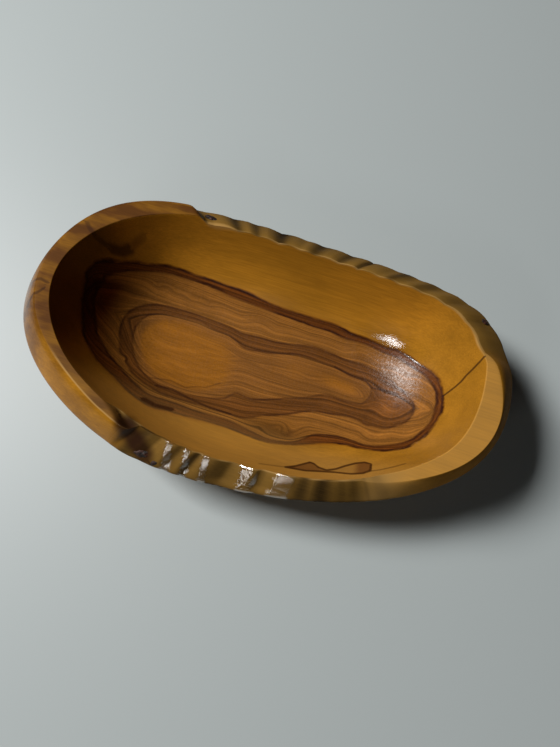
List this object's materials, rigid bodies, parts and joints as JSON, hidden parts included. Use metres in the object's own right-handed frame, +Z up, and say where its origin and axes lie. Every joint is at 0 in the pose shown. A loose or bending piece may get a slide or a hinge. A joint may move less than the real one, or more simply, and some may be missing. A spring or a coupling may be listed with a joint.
{
  "type": "olive wood bowl",
  "caption": "Oval rustic serving bowl carved from half an olive log, with a deep hollow, planed flat end rims and a rippled natural edge along both long sides.",
  "frame": {"origin": "middle of the flat foot, on the surface that the bowl stands on", "axes": "+X along the bowl towards its narrower flat rim, +Y across it to the rear, +Z up out of the hollow"},
  "size_m": [0.248, 0.1382, 0.055],
  "materials": {
    "oiled_olive_wood": "oiled and polished",
    "bark": "rough"
  },
  "bodies": {
    "root": {"bowl_body": "oiled_olive_wood", "bark_front_left": "bark", "bark_front_chip": "bark", "bark_rear_left": "bark", "bark_rear_right": "bark"}
  },
  "joints": []
}
